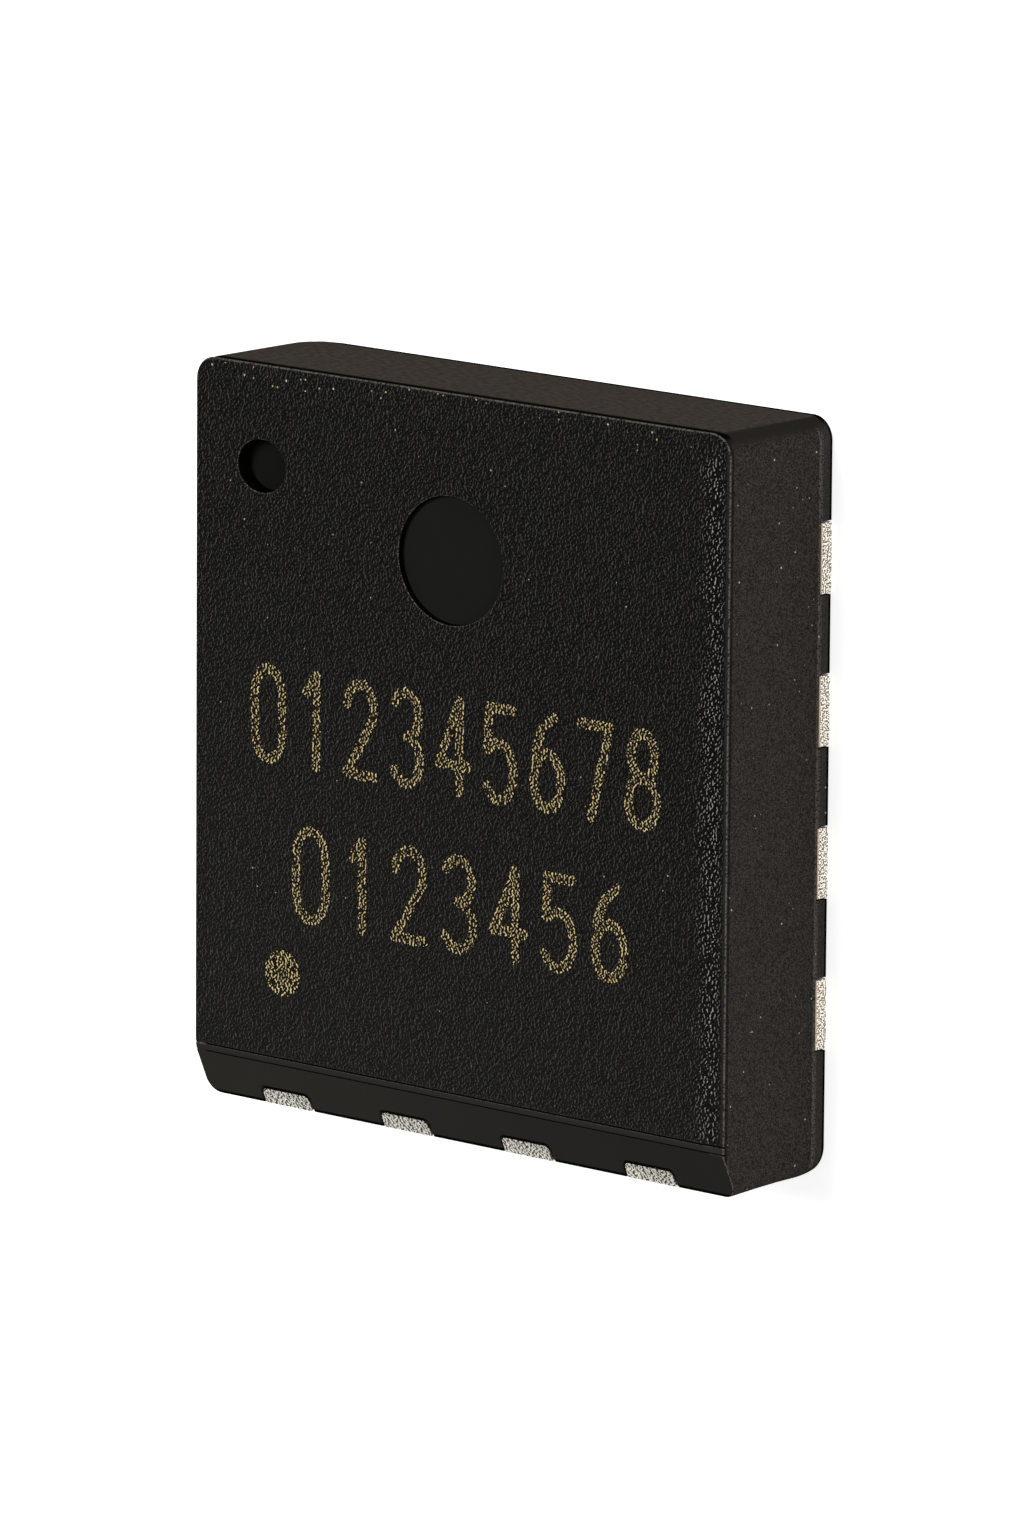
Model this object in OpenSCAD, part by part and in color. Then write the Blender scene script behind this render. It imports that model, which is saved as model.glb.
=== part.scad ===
// Quad flat no-lead chip: black moulded body over an etched lead frame, with die and bond wires inside.
// Millimetres. The seating plane is z = 0, the marked face looks up, the bevelled end is at -Y.

/* [Moulded body] */
// Width of the body, from side row to side row
body_w = 3.7; // [3.5:0.05:4.5]
// Length of the body, from the bevelled end to the plain end
body_l = 4.0; // [3.8:0.05:5]
// Height from the seating plane to the marked face
body_h = 0.82; // [0.7:0.01:1.2]
// Radius of the four upright corners
corner_r = 0.125; // [0.05:0.005:0.2]
// Radius that breaks the edges round the marked face
edge_r = 0.02; // [0.01:0.005:0.05]
// Length of the bevel, measured along the marked face
bevel_l = 0.29; // [0.2:0.01:0.4]
// Height of the bevel, measured down the end wall
bevel_h = 0.125; // [0.08:0.005:0.2]
// Length of the narrow lip between the marked face and the bevel
lip_l = 0.04; // [0.02:0.005:0.08]
// Drop of the narrow lip below the marked face
lip_h = 0.008; // [0.004:0.001:0.015]
// Width of the strip that rolls off along each side of the marked face
roll_w = 0.16; // [0.08:0.01:0.25]
// Drop of the rolled strip where it reaches the side wall
roll_h = 0.012; // [0.005:0.001:0.03]

/* [Recesses in the marked face] */
// Diameter of the small ejector hole
hole_d = 0.31; // [0.2:0.01:0.4]
// Depth of the small ejector hole
hole_depth = 0.1; // [0.05:0.01:0.15]
// Distance from the body's side to the middle of the small hole
hole_from_side = 0.48; // [0.4:0.01:0.6]
// Distance from the plain end to the middle of the small hole
hole_from_end = 0.535; // [0.45:0.005:0.65]
// Diameter of the round shallow recess
disc_d = 0.7; // [0.5:0.01:0.9]
// Depth of the round shallow recess
disc_depth = 0.04; // [0.02:0.005:0.08]
// Distance of the recess from the long middle line, towards the small hole
disc_off = 0.045; // [0:0.005:0.1]
// Distance from the plain end to the middle of the recess
disc_from_end = 0.875; // [0.7:0.005:1]

/* [Lead frame] */
// Thickness of the lead frame
frame_t = 0.085; // [0.07:0.005:0.1]
// Distance between neighbouring terminals of a side row
side_pitch = 0.8; // [0.65:0.01:0.82]
// Distance between neighbouring terminals of an end row
end_pitch = 0.85; // [0.65:0.01:0.9]
// Width of a terminal of a side row
side_land_w = 0.37; // [0.25:0.01:0.45]
// Width of a terminal of an end row
end_land_w = 0.33; // [0.25:0.01:0.4]
// Length of a land from the body's wall inwards
land_l = 0.4; // [0.3:0.01:0.5]
// Radius of the two inner corners of a land
land_r = 0.08; // [0.03:0.01:0.12]
// Radius of the two inner corners of a flank riser
riser_r = 0.03; // [0.01:0.005:0.05]
// Shift of the two side rows towards the plain end
row_shift = 0.07; // [0:0.01:0.1]
// Distance from the plain end's wall to the pulled-back lands
pull_back = 0.1; // [0.05:0.01:0.15]
// Reach of the half-etched locking ledge beyond a land or the pad
ledge = 0.07; // [0.04:0.01:0.09]
// Gap between the lands' inner ends and the exposed pad
pad_gap = 0.25; // [0.2:0.01:0.35]
// Radius of the pad's corners
pad_r = 0.1; // [0.03:0.01:0.15]
// Size of the chamfer that marks the first terminal's corner of the pad
pad_chamfer = 0.3; // [0.15:0.01:0.4]

/* [Die] */
// Width of the silicon die
die_w = 1.6; // [1.2:0.05:1.8]
// Length of the silicon die
die_l = 1.8; // [1.4:0.05:2]
// Thickness of the silicon die
die_t = 0.2; // [0.1:0.01:0.25]
// Thickness of the adhesive under the die
attach_t = 0.02; // [0.01:0.005:0.04]
// Width of the adhesive squeezed out round the die
attach_rim = 0.05; // [0.02:0.01:0.1]

/* [Bond wires] */
// Diameter of the wire
wire_d = 0.025; // [0.018:0.001:0.035]
// Diameter of the squashed ball on the die
ball_d = 0.06; // [0.045:0.005:0.08]
// Height of the squashed ball
ball_h = 0.012; // [0.008:0.001:0.02]
// Height of the cone from the ball to the wire
neck_h = 0.015; // [0.01:0.001:0.02]
// Straight rise of the wire above the die before it bends over
rise = 0.06; // [0.04:0.005:0.1]
// Radius of the bend at the top of the wire
bend_r = 0.05; // [0.03:0.005:0.08]
// Swell of the wire where it is bent
bend_swell = 0.0005; // [0.0003:0.0001:0.001]
// Length of each straight stretch that ends inside the bend
bend_seat = 0.004; // [0.002:0.001:0.005]
// Distance between neighbouring balls on the die
ball_pitch = 0.38; // [0.2:0.01:0.42]
// Distance from the die's edge to the balls
ball_inset = 0.08; // [0.05:0.01:0.15]
// Distance from the inner end of a terminal to the wire's foot
stitch_inset = 0.1; // [0.06:0.01:0.15]

/* [Hidden] */
$fn = 64;
per_side = 4;
arc_steps = 6;
// Overshoot of a pocket past the wall that it opens through
over = 0.1;
sides = ["bevelled", "right", "plain", "left"];
// Distance from the middle to each wall, and the shift of each row along its wall
wall = [body_l / 2, body_w / 2, body_l / 2, body_w / 2];
shift = [0, row_shift, 0, -row_shift];
// Pitch and terminal width of each row
row_pitch = [end_pitch, side_pitch, end_pitch, side_pitch];
row_land_w = [end_land_w, side_land_w, end_land_w, side_land_w];
die_edge = [die_l / 2, die_w / 2, die_l / 2, die_w / 2];
pad_w = body_w - 2 * (land_l + pad_gap);
pad_l = body_l - 2 * (land_l + pad_gap);
attach_z = frame_t;
die_z = attach_z + attach_t;
die_top = die_z + die_t;
roll_a = atan(roll_h / roll_w);
last = per_side * len(sides) - 1;

function number(i) = str(i < 9 ? "0" : "", i + 1);

// Points of a round stretch of an outline
function arc(centre, r, from, to) = [
    for (i = [0 : arc_steps])
        let (a = from + (to - from) * i / arc_steps)
        centre + r * [cos(a), sin(a)]
];

// Height of the bevel's surface at a depth behind the end wall
function bevel_z(depth) = body_h - bevel_h + (bevel_h - lip_h) * depth / (bevel_l - lip_l);

// A point seen from the bevelled end's wall, turned to the wall of another side
function turned(side, p) = [p, [-p.y, p.x], [-p.x, -p.y], [p.y, -p.x]][side];

function side_of(i) = floor(i / per_side);
function place_in_row(i) = i % per_side - (per_side - 1) / 2;
function terminal_along(i) = place_in_row(i) * row_pitch[side_of(i)] + shift[side_of(i)];
function stitch_at(i) = turned(
    side_of(i),
    [terminal_along(i), land_l + ledge - stitch_inset - wall[side_of(i)]]
);
function ball_at(i) = turned(
    side_of(i),
    [place_in_row(i) * ball_pitch, ball_inset - die_edge[side_of(i)]]
);

// Rectangle with four round corners, about the origin
module rounded_plan(w, l, r) {
    square([w - 2 * r, l], center = true);
    square([w, l - 2 * r], center = true);
    for (x = [-1, 1], y = [-1, 1])
        translate([x * (w / 2 - r), y * (l / 2 - r)])
            circle(r);
}

// Length section of the body: bevelled end on the left, with its lip
module length_section() {
    polygon(concat(
        [[-body_l / 2, 0], [body_l / 2, 0]],
        arc([body_l / 2 - edge_r, body_h - edge_r], edge_r, 0, 90),
        [
            [-body_l / 2 + bevel_l, body_h],
            [-body_l / 2 + bevel_l - lip_l, body_h - lip_h],
            [-body_l / 2, body_h - bevel_h]
        ]
    ));
}

// Round broken edge at the top of the right side wall, ending along the rolled strip
function side_edge() =
    let (edge_z = body_h - (roll_w - edge_r) * tan(roll_a) - edge_r / cos(roll_a))
    arc([body_w / 2 - edge_r, edge_z], edge_r, 0, 90 - roll_a);

function mirrored(points) = [for (i = [len(points) - 1 : -1 : 0]) [-points[i].x, points[i].y]];

// Width section of the body: side walls, broken edges and rolled strips
module width_section() {
    right = concat([[body_w / 2, 0]], side_edge(), [[body_w / 2 - roll_w, body_h]]);
    polygon(concat(right, mirrored(right)));
}

// Body before its pockets: plan, length section and width section at once
module body_blank() {
    intersection() {
        linear_extrude(body_h)
            rounded_plan(body_w, body_l, corner_r);
        translate([-body_w / 2 - over, 0, 0])
            rotate([90, 0, 90])
                linear_extrude(body_w + 2 * over)
                    length_section();
        translate([0, body_l / 2 + over, 0])
            rotate([90, 0, 0])
                linear_extrude(body_l + 2 * over)
                    width_section();
    }
}

module face_recesses() {
    translate([hole_from_side - body_w / 2, body_l / 2 - hole_from_end, body_h - hole_depth])
        cylinder(d = hole_d, h = hole_depth + over);
    translate([-disc_off, body_l / 2 - disc_from_end, body_h - disc_depth])
        cylinder(d = disc_d, h = disc_depth + over);
}

module mold_body() {
    color("#2b2a28")
        difference() {
            body_blank();
            face_recesses();
            pad_shape(over);
            attach_shape();
            die_shape();
            for (i = [0 : last]) {
                terminal_shape(i, over);
                wire_shape(i);
            }
        }
}

// Tongue with round inner corners, from a start to an end distance behind the wall
module tongue(w, from, to, r) {
    polygon(concat(
        [[-w / 2, from], [w / 2, from]],
        arc([w / 2 - r, to - r], r, 0, 90),
        arc([r - w / 2, to - r], r, 90, 180)
    ));
}

// Upright leg of a flank terminal, cut off flush with the bevel
module riser(extra) {
    intersection() {
        translate([0, 0, frame_t])
            linear_extrude(body_h)
                tongue(end_land_w, -extra, frame_t, riser_r);
        rotate([90, 0, 90])
            linear_extrude(end_land_w + 2 * over, center = true)
                polygon([
                    [-extra, 0],
                    [frame_t, 0],
                    [frame_t, bevel_z(frame_t) + extra],
                    [-extra, bevel_z(-extra) + extra]
                ]);
    }
}

// One terminal at its place; extra carries a pocket past the walls
module terminal_shape(i, extra) {
    side = side_of(i);
    w = row_land_w[side];
    from = sides[side] == "plain" ? pull_back : -extra;
    rotate([0, 0, 90 * side])
        translate([terminal_along(i), -wall[side], 0]) {
            translate([0, 0, -extra])
                linear_extrude(frame_t / 2 + extra)
                    tongue(w, from, land_l, land_r);
            translate([0, 0, frame_t / 2])
                linear_extrude(frame_t / 2)
                    tongue(w, from, land_l + ledge, land_r);
            if (sides[side] == "bevelled")
                riser(extra);
        }
}

module terminal(i) {
    color("#c6c2b8")
        terminal_shape(i, 0);
}

// Exposed pad: chamfered at the first terminal's corner below, ledge all round above
module pad_shape(extra) {
    translate([0, 0, -extra])
        linear_extrude(frame_t / 2 + extra)
            difference() {
                rounded_plan(pad_w, pad_l, pad_r);
                translate([-pad_w / 2, -pad_l / 2])
                    rotate(45)
                        square(pad_chamfer * sqrt(2), center = true);
            }
    translate([0, 0, frame_t / 2])
        linear_extrude(frame_t / 2)
            rounded_plan(pad_w + 2 * ledge, pad_l + 2 * ledge, pad_r);
}

module exposed_pad() {
    color("#c6c2b8")
        pad_shape(0);
}

module attach_shape() {
    translate([0, 0, attach_z])
        linear_extrude(attach_t)
            rounded_plan(die_w + 2 * attach_rim, die_l + 2 * attach_rim, attach_rim);
}

module die_attach() {
    color("#9a9a9c")
        attach_shape();
}

module die_shape() {
    translate([-die_w / 2, -die_l / 2, die_z])
        cube([die_w, die_l, die_t]);
}

module die() {
    color("#5a6070")
        die_shape();
}

// One wire at its place: ball, neck and rise, then the bend, then the run down to its terminal
module wire_shape(i) {
    start = ball_at(i);
    reach = stitch_at(i) - start;
    span = norm(reach);
    drop = die_top - frame_t;
    neck_z = ball_h + neck_h;
    bend_z = neck_z + rise;
    across = span - bend_r;
    down = bend_z + drop;
    slope = atan2(down, across) + asin(bend_r / norm([across, down]));
    run_z = bend_z + bend_r * cos(slope);
    run = (run_z + drop) / sin(slope) + wire_d / tan(slope);
    translate([start.x, start.y, die_top])
        rotate([0, 0, atan2(reach.y, reach.x)])
            difference() {
                union() {
                    rotate_extrude()
                        polygon([
                            [0, 0],
                            [ball_d / 2, 0],
                            [ball_d / 2, ball_h],
                            [wire_d / 2, neck_z],
                            [wire_d / 2, bend_z + bend_seat],
                            [0, bend_z + bend_seat]
                        ]);
                    translate([bend_r, 0, bend_z])
                        rotate([90, 0, 0])
                            rotate([0, 0, 90 - slope]) {
                                rotate_extrude(angle = 90 + slope)
                                    translate([bend_r, 0])
                                        circle(wire_d / 2 + bend_swell);
                                translate([bend_r, bend_seat, 0])
                                    rotate([90, 0, 0])
                                        cylinder(d = wire_d, h = run + bend_seat);
                            }
                }
                translate([span / 2, -over / 2, -drop - over])
                    cube([span, over, over]);
            }
}

module bond_wire(i) {
    color("#d8b25a")
        wire_shape(i);
}

mold_body();
exposed_pad();
die_attach();
die();
for (i = [0 : last])
    terminal(i);
for (i = [0 : last])
    bond_wire(i);
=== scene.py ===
"""Quad flat no-lead chip: moulded shell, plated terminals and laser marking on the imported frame."""
import math

import bmesh
import bpy
import numpy as np
from mathutils import Matrix, Vector


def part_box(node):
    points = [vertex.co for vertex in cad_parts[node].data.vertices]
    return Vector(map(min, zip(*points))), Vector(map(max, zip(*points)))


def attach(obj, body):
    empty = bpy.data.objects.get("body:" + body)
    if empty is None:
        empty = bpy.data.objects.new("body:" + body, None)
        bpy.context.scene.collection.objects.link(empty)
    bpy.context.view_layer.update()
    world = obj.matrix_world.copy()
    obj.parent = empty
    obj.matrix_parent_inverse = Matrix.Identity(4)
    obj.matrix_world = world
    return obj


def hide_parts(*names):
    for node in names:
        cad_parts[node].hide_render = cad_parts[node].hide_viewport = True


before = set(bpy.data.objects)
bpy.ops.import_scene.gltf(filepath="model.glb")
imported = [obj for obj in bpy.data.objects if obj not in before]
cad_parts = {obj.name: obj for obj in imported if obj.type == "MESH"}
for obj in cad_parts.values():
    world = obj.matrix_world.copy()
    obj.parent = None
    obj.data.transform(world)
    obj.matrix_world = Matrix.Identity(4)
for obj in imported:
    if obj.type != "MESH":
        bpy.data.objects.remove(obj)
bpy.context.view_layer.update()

# Lengths in this script are millimetres; the frame and Blender are in metres.
MM = 0.001

# Body, from the frame
box_low, box_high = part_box("mold_body")
WIDTH = (box_high.x - box_low.x) / MM
LENGTH = (box_high.y - box_low.y) / MM
HEIGHT = (box_high.z - box_low.z) / MM
HALF_W = WIDTH / 2
HALF_L = LENGTH / 2
FRAME_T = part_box("terminal_05")[1].z / MM

# Corners of the shell's plan: at mid height, up at the bevel, and down at the foot by sign of x and y
CORNER_R = 0.125
BEVEL_CORNER_R = 0.08
BEVEL_CORNER_START = 0.3
FOOT_CORNER_R = {(1, 1): 0.125, (-1, 1): 0.25, (1, -1): 0.17, (-1, -1): 0.17}
FOOT_CORNER_H = 0.16

# Top of the shell: rounded edges, bevel with its lip, and the strip that rolls off to the right side
EDGE_R = 0.012
BEVEL_EDGE_R = 0.004
BEVEL_L = 0.29
BEVEL_H = 0.125
LIP_L = 0.04
LIP_H = 0.008
ROLL = (0.045, 0.19)
ROLL_H = 0.012

# Grooves in the top of the shell: middle distance from the edge, half width and depth
BEAD_GROOVE = (0.028, 0.007, 0.0015)
LIP_GROOVE = (BEVEL_L, 0.007, 0.006)
BEVEL_GROOVE = (BEVEL_L - LIP_L, 0.005, 0.004)
# The bead's groove sets in past the lip and grows shallow towards the plain end
BEAD_START = 0.03
BEAD_FADE = (0.2, 0.1)
BEAD_FADE_SHARE = 0.8

# Walls of the shell: groove under the plain end's edge, ridge and cut of the parting line, broken foot
EDGE_DROP = 0.002
END_GROOVE_W = 0.06
END_GROOVE_DEPTH = 0.008
END_GROOVE_FLAT = (0.3, 0.7)
END_GROOVE_LEAST = 0.25
RIDGE_TOP = 0.13
RIDGE_FLAT = (0.105, 0.091)
RIDGE_PROUD = 0.004
PARTING_Z = 0.08
PARTING_HALF = 0.006
PARTING_CUT = 0.006
FOOT_BREAK = 0.004
SQUARE_ON = (0.8, 1.0)

# Grid of the shell: extra lines and rings, steps of round stretches, distance at which points merge
SUPPORT = 0.004
FACE_LINES = [0.3, 0.6, 1.0, 1.4]
BEVEL_LINE = 0.2
MIDDLE_RINGS = [HEIGHT * 0.55, HEIGHT * 0.35]
FOOT_RINGS = [0.045, 0.025, 0.012]
ARC_STEPS = 6
CORNER_STEPS = 8
ROLL_STEPS = 8
BEVEL_EDGE_STEPS = 4
ROUND_STEPS = 96
GRID_DIGITS = 5
MERGE = 0.0003

# Recesses in the marked face: middle, diameters across and along, depth and radius of the rim
HOLE = (-1.379, 1.458, 0.343, 0.285, 0.1, 0.006)
DISC = (-0.045, 1.118, 0.73, 0.683, 0.04, 0.006)

# Terminals: gap to the moulding, broken edges, and how far a cutter runs out through a wall
TERMINALS = 16
TERMINAL_GAP = 0.009
FLANK_GAP = 0.018
FLANK_FROM = FRAME_T * 2
TERMINAL_BREAK = 0.006
BREAK_STEPS = 3
BREAK_DEG = 40
UPRIGHT_SHARE = 0.2
REACH = 0.05
NEAR = 1e-4

# Meshes: distance at which the solids' points join, bend that still counts as flat, bend of a sharp edge
JOIN = 1e-5
FLAT_DEG = 1
SHARP_DEG = 35

# Laser marking: height above the face, grid, stroke, and left, right, bottom and top of each row
MARK_PROUD = 0.002
MARK_CELL = 0.008
STROKE = 0.056
RAGGED = STROKE * 0.05
LEAST_RISE = 0.3
FIGURE_SHARE = 0.6
FIGURE_ARC_STEPS = 16
ROWS = {
    "marking_row_1": (range(9), -1.42, 1.39, -0.10, 0.385),
    "marking_row_2": (range(7), -1.12, 1.18, -0.93, -0.455),
}
# Middle and diameter of the first-terminal dot
DOT = (-1.216, -1.246, 0.25)
DOT_SEED = 7

# Camera: direction from the chip to the camera, the picture's up, distance, and aim beside the middle
VIEW_FROM = Vector((0.64925, 0.19493, 0.73517))
VIEW_UP = Vector((-0.13439, 0.98079, -0.14137))
VIEW_DISTANCE = 62.8
VIEW_RIGHT_SHIFT = 0.0238
VIEW_UP_SHIFT = -0.0292
SENSOR = 36.0
LENS = 281.3
CLIP_NEAR = VIEW_DISTANCE * 0.1
CLIP_FAR = 10000.0

# Lamps: place, size and level
LAMPS = {
    "key": ((-20, 30, 90), 35, 0.75),
    "side": ((85, 5, 40), 50, 0.35),
}

# Floor: half its size, drop below the seating plane, grey, glow near and far off, glow in reflections
FLOOR_HALF = 2000.0
FLOOR_DROP = 0.001
FLOOR_GREY = 0.8
FLOOR_NEAR = 2 * LENGTH
FLOOR_FAR = 12 * LENGTH
FLOOR_GLOW = (0.7, 1.0)
FLOOR_MIRRORED = 1.1

# Strength of the surroundings, as a light and as a background
WORLD_LIGHT = 0.2
WORLD_SEEN = 1.0

TERMINAL_NODES = [f"terminal_{i:02d}" for i in range(1, TERMINALS + 1)]
WIRE_NODES = [f"bond_wire_{i:02d}" for i in range(1, TERMINALS + 1)]


def link_object(name, mesh):
    obj = bpy.data.objects.new(name, mesh)
    bpy.context.scene.collection.objects.link(obj)
    return obj


def mesh_from(name, points, faces):
    mesh = bpy.data.meshes.new(name)
    mesh.from_pydata([tuple(p) for p in points], [], faces)
    mesh.update()
    return mesh


def evaluated_mesh(obj):
    graph = bpy.context.evaluated_depsgraph_get()
    return bpy.data.meshes.new_from_object(obj.evaluated_get(graph))


def finish_piece(obj, material, nodes):
    """Takes a mesh to metres and gives it its shading, material and place in the frame."""
    mesh = obj.data
    if "custom_normal" in mesh.attributes:
        mesh.attributes.remove(mesh.attributes["custom_normal"])
    work = bmesh.new()
    work.from_mesh(mesh)
    work.normal_update()
    for face in work.faces:
        face.smooth = True
    for edge in work.edges:
        edge.smooth = edge.calc_face_angle(math.pi) < math.radians(SHARP_DEG)
    work.to_mesh(mesh)
    work.free()
    mesh.transform(Matrix.Scale(MM, 4))
    weighted = obj.modifiers.new("weighted_normals", "WEIGHTED_NORMAL")
    weighted.keep_sharp = True
    mesh.materials.clear()
    mesh.materials.append(material)
    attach(obj, "root")
    if nodes:
        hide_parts(*nodes)
    return obj


# Moulded shell


def groove(d, spec):
    """Depth of a V groove at distance d."""
    middle, half, depth = spec
    return depth * np.clip(1 - abs(d - middle) / half, 0, 1)


def around(spec):
    """Grid lines that hold a groove."""
    middle, half, _ = spec
    return [middle - half, middle, middle + half]


def smooth(a, b, x):
    t = np.clip((x - a) / (b - a), 0, 1)
    return t * t * (3 - 2 * t)


def face_height(x, y, inset):
    """Height of the shell's top at a point, given its distance from the outline."""
    end = y + HALF_L
    roll = HEIGHT - ROLL_H * smooth(ROLL[1], ROLL[0], HALF_W - x)
    bevel_top = BEVEL_L - LIP_L
    bevel = HEIGHT - LIP_H - (BEVEL_H - LIP_H) * (1 - end / bevel_top)
    lip = HEIGHT - LIP_H * (BEVEL_L - end) / LIP_L
    z = np.where(end < bevel_top, bevel, np.where(end < BEVEL_L, np.minimum(lip, roll), roll))
    on_face = smooth(BEVEL_L, BEVEL_L + BEAD_START, end)
    at_end = smooth(HALF_L - BEAD_FADE[0], HALF_L - BEAD_FADE[1], y)
    z = z - groove(inset, BEAD_GROOVE) * on_face * (1 - BEAD_FADE_SHARE * at_end)
    z = z - groove(end, LIP_GROOVE) - groove(end, BEVEL_GROOVE)
    radius = BEVEL_EDGE_R + (EDGE_R - BEVEL_EDGE_R) * smooth(0.0, BEVEL_L, end)
    short = np.clip(radius - inset, 0, None)
    return z - (radius - np.sqrt(np.clip(radius**2 - short**2, 0, None)))


def corner_radius(x, y, z):
    """Radius of a corner of the plan: smaller up at the bevel, larger down at the foot."""
    upper = CORNER_R if y > 0 else BEVEL_CORNER_R
    r = CORNER_R + (upper - CORNER_R) * float(smooth(BEVEL_CORNER_START, HEIGHT - BEVEL_H, z))
    foot = FOOT_CORNER_R[math.copysign(1, x), math.copysign(1, y)]
    return r + (foot - CORNER_R) * max(1 - z / FOOT_CORNER_H, 0) ** 2


def round_corner(x, y, z):
    """Point of the square plan moved to the round-cornered one, with its inset and outward direction."""
    r = corner_radius(x, y, z)
    dx = HALF_W - abs(x)
    dy = HALF_L - abs(y)
    inset = min(dx, dy)
    if dx >= r or dy >= r:
        sideways = Vector((math.copysign(1, x), 0))
        endways = Vector((0, math.copysign(1, y)))
        return x, y, inset, sideways if dx < dy else endways
    a = math.copysign(1 - dx / r, x)
    b = math.copysign(1 - dy / r, y)
    outward = Vector((a, b)).normalized()
    reach = max(abs(a), abs(b)) * r
    cx = math.copysign(HALF_W - r, x)
    cy = math.copysign(HALF_L - r, y)
    return cx + outward.x * reach, cy + outward.y * reach, inset, outward


def grid_lines():
    """Places of the top's grid lines along x and y, close together where its form changes."""

    def lines(half, from_low, from_high):
        places = [d - half for d in from_low] + [half - d for d in from_high] + [0.0]
        return sorted({round(place, GRID_DIGITS) for place in places})

    fillet = [EDGE_R * (1 - math.cos(math.pi / 2 * k / ARC_STEPS)) for k in range(ARC_STEPS + 1)]
    corner = [CORNER_R * k / CORNER_STEPS for k in range(3, CORNER_STEPS + 1)] + [BEVEL_CORNER_R]
    roll = [ROLL[0] + (ROLL[1] - ROLL[0]) * k / ROLL_STEPS for k in range(ROLL_STEPS + 1)]
    side = fillet + around(BEAD_GROOVE) + corner + roll + FACE_LINES
    end = side + around(LIP_GROOVE) + around(BEVEL_GROOVE)
    end += [BEVEL_EDGE_R * k / BEVEL_EDGE_STEPS for k in range(BEVEL_EDGE_STEPS + 1)]
    end += [BEVEL_LINE, BEVEL_L + BEAD_START / 2, BEVEL_L + BEAD_START]
    return lines(HALF_W, side, side), lines(HALF_L, end, side)


def wall_levels(top, outward):
    """Heights down a wall from its top edge, each with how far it stands in from the plan's outline."""
    row = float(smooth(*SQUARE_ON, abs(outward.x)))
    end = float(smooth(*SQUARE_ON, outward.y))
    proud = -RIDGE_PROUD * row
    start = top - EDGE_DROP
    wide = END_GROOVE_W * (END_GROOVE_LEAST + (1 - END_GROOVE_LEAST) * end)
    levels = [(start, 0.0)]
    levels += [(start - wide * share, END_GROOVE_DEPTH * end) for share in END_GROOVE_FLAT]
    levels += [(start - wide, 0.0), (start - wide - SUPPORT, 0.0)]
    levels += [(z, 0.0) for z in MIDDLE_RINGS]
    levels += [(RIDGE_TOP + SUPPORT, 0.0), (RIDGE_TOP, 0.0)]
    levels += [(z, proud) for z in RIDGE_FLAT]
    levels += [(PARTING_Z + PARTING_HALF, 0.0), (PARTING_Z, PARTING_CUT * row)]
    levels += [(PARTING_Z - PARTING_HALF, 0.0), (PARTING_Z - PARTING_HALF - SUPPORT, 0.0)]
    levels += [(z, 0.0) for z in FOOT_RINGS]
    levels += [(FOOT_BREAK, 0.0), (0.0, FOOT_BREAK)]
    return levels


def shell_blank():
    """Closed shell with its bevel, lip, bead, wall groove and parting line, before the pockets are cut."""
    xs, ys = grid_lines()
    nx, ny = len(xs), len(ys)
    points = []
    for y in ys:
        for x in xs:
            px, py, inset, _ = round_corner(x, y, HEIGHT)
            points.append((px, py, float(face_height(px, py, inset))))
    faces = [
        (j * nx + i, j * nx + i + 1, (j + 1) * nx + i + 1, (j + 1) * nx + i)
        for j in range(ny - 1)
        for i in range(nx - 1)
    ]
    rim = [(i, 0) for i in range(nx)]
    rim += [(nx - 1, j) for j in range(1, ny)]
    rim += [(i, ny - 1) for i in range(nx - 2, -1, -1)]
    rim += [(0, j) for j in range(ny - 2, 0, -1)]
    above = [j * nx + i for i, j in rim]
    tops = [points[k][2] for k in above]
    outwards = [round_corner(xs[i], ys[j], HEIGHT)[3] for i, j in rim]
    columns = [wall_levels(top, outward) for top, outward in zip(tops, outwards)]
    for level in range(len(columns[0])):
        ring = []
        for (i, j), column in zip(rim, columns):
            z, inward = column[level]
            x, y, _, outward = round_corner(xs[i], ys[j], z)
            ring.append(len(points))
            points.append((x - outward.x * inward, y - outward.y * inward, z))
        for k in range(len(ring)):
            n = (k + 1) % len(ring)
            faces.append((above[n], above[k], ring[k], ring[n]))
        above = ring
    faces.append(tuple(reversed(above)))
    return mesh_from("mold_shell", points, faces)


def revolve(name, middle, stretch, profile):
    """Closed round solid about an upright axis from (radius, height) points, stretched along x."""
    steps = ROUND_STEPS
    points, faces = [], []
    for r, z in profile:
        for k in range(steps):
            a = 2 * math.pi * k / steps
            points.append((middle[0] + stretch * r * math.cos(a), middle[1] + r * math.sin(a), z))
    for level in range(len(profile) - 1):
        for k in range(steps):
            n = (k + 1) % steps
            base = level * steps
            faces.append((base + k, base + n, base + steps + n, base + steps + k))
    faces.append(tuple(range(steps - 1, -1, -1)))
    top = (len(profile) - 1) * steps
    faces.append(tuple(range(top, top + steps)))
    return mesh_from(name, points, faces)


def recess_cutter(name, spec):
    """Round cutter with a broken foot and a rounded rim."""
    x, y, across, along, depth, rim = spec
    r = along / 2
    floor = HEIGHT - depth
    profile = [(r - rim / 2, floor), (r, floor + rim / 2)]
    for k in range(ARC_STEPS + 1):
        a = math.pi / 2 * k / ARC_STEPS
        profile.append((r + rim * (1 - math.cos(a)), HEIGHT - rim + rim * math.sin(a)))
    profile.append((r + rim, HEIGHT + REACH))
    return revolve(name, (x, y), across / along, profile)


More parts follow.
